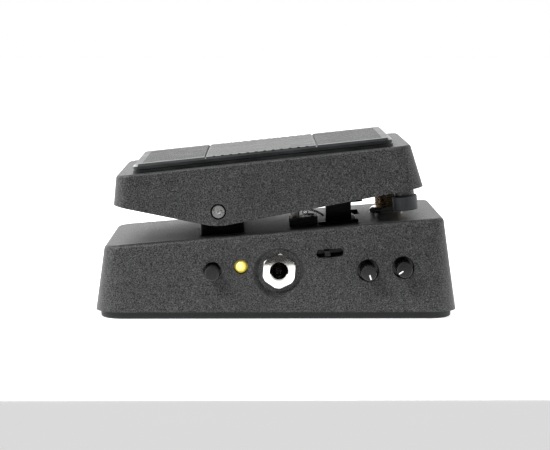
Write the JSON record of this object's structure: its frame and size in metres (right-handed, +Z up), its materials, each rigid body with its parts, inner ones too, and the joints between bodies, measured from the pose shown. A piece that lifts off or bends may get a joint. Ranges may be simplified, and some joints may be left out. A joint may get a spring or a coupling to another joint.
{
  "type": "rocker effects pedal",
  "caption": "Foot pedal for an instrument: a ribbed treadle rocks on a wedge-shaped cast base and turns a potentiometer through a rack and pinion, with a toe switch under the treadle.",
  "frame": {"origin": "centre of the sole's underside", "axes": "+X from heel to toe, +Z up, -Y towards the side with the knobs and the input jack"},
  "size_m": [0.145, 0.0892, 0.0722],
  "materials": {
    "cast_body": "fine crinkle powder coat on die-cast alloy",
    "sole_rubber": "matt moulded rubber",
    "tread_rubber": "satin moulded rubber",
    "bumper_rubber": "matt moulded rubber",
    "plate_steel": "painted steel sheet",
    "post_paint": "gloss black paint on die-cast alloy",
    "steel": "turned steel",
    "zinc_screw": "zinc-plated steel screws",
    "nickel": "bright nickel plating on brass",
    "thread_brass": "dull plated brass thread",
    "spring_steel": "drawn spring wire",
    "contact_metal": "tinned copper alloy",
    "black_acetal": "machined black acetal",
    "white_nylon": "moulded natural nylon",
    "black_plastic": "moulded black plastic",
    "knob_plastic": "moulded knob plastic",
    "pointer_paint": "white paint",
    "lamp_yellow": "cast tinted epoxy",
    "board_laminate": "solder-masked glass laminate",
    "component_case": "moulded component cases"
  },
  "bodies": {
    "base": {"axle_rings": "spring_steel", "base_casting": "cast_body", "board_standoffs": "steel", "bottom_plate": "plate_steel", "button_board": "board_laminate", "capacitors": "component_case", "control_board": "board_laminate", "footswitch_body": "black_plastic", "footswitch_bushing": "thread_brass", "footswitch_lugs": "contact_metal", "footswitch_nut": "nickel", "footswitch_washer": "nickel", "guide_shoe": "white_nylon", "inductor": "component_case", "jack_contacts": "contact_metal", "jack_housings": "black_plastic", "jack_nuts": "nickel", "jack_sleeves": "nickel", "knob_pots": "black_plastic", "lamp_lens": "lamp_yellow", "main_board": "board_laminate", "pivot_axle": "steel", "pivot_post_left": "post_paint", "pivot_post_right": "post_paint", "plate_screws": "zinc_screw", "post_screws": "zinc_screw", "pot_bracket": "steel", "power_inlet": "black_plastic", "power_pin": "nickel", "push_switch": "black_plastic", "rack_guide": "black_acetal", "range_switch": "black_plastic", "rubber_sole": "sole_rubber", "small_screws": "zinc_screw", "solder_pins": "contact_metal", "sweep_nut": "nickel", "sweep_pot": "steel", "tension_block": "black_plastic", "tension_spring": "spring_steel"},
    "treadle": {"treadle_casting": "cast_body", "tread_pad": "tread_rubber", "axle_bushings": "black_plastic", "toe_bumpers": "bumper_rubber", "heel_bumper": "bumper_rubber", "striker_pad": "bumper_rubber", "rack_arm_bracket": "post_paint", "rack_arm_screws": "zinc_screw"},
    "rack": {"rack": "black_acetal", "rack_pin": "steel"},
    "pinion": {"pinion": "white_nylon", "sweep_shaft": "steel"},
    "footswitch_plunger": {"footswitch_plunger": "nickel"},
    "push_button": {"button_cap": "black_plastic"},
    "range_slider": {"range_slider": "black_plastic"},
    "volume_control": {"volume_knob": "knob_plastic", "volume_pointer": "pointer_paint", "volume_shaft": "steel"},
    "tone_control": {"tone_knob": "knob_plastic", "tone_pointer": "pointer_paint", "tone_shaft": "steel"}
  },
  "joints": [
    {"name": "treadle_rock", "type": "hinge", "parent": "base", "child": "treadle", "pos_m": [-0.02295, 0, 0.043], "axis": [0, 1, 0], "range_deg": [-18, 2.4]},
    {"name": "rack_slide", "type": "slide", "parent": "base", "child": "rack", "axis": [0, 0, 1], "range_m": [-0.0023, 0.0155]},
    {"name": "pinion_turn", "type": "hinge", "parent": "base", "child": "pinion", "pos_m": [0.03552, -0.02, 0.02542], "axis": [0, 1, 0], "range_deg": [-23, 159]},
    {"name": "footswitch_press", "type": "slide", "parent": "base", "child": "footswitch_plunger", "axis": [0.0828, 0, -0.9966], "range_m": [0, 0.0015], "stiffness_N_per_m": 1500, "springref_m": -0.003},
    {"name": "button_press", "type": "slide", "parent": "base", "child": "push_button", "axis": [0, 1, 0], "range_m": [0, 0.0012], "stiffness_N_per_m": 600, "springref_m": -0.001},
    {"name": "range_slide", "type": "slide", "parent": "base", "child": "range_slider", "axis": [0.9966, 0, 0.0828], "range_m": [-0.002, 0.004]},
    {"name": "volume_turn", "type": "hinge", "parent": "base", "child": "volume_control", "pos_m": [0.0367, -0.04, 0.0194], "axis": [0, 1, 0], "range_deg": [-286, 0]},
    {"name": "tone_turn", "type": "hinge", "parent": "base", "child": "tone_control", "pos_m": [0.0508, -0.04, 0.0206], "axis": [0, 1, 0], "range_deg": [0, 286]}
  ],
  "couplings": [
    {"joint": "rack_slide", "follows": "treadle_rock", "m_per_rad": -0.0478},
    {"joint": "pinion_turn", "follows": "treadle_rock", "ratio": -8.5357}
  ]
}
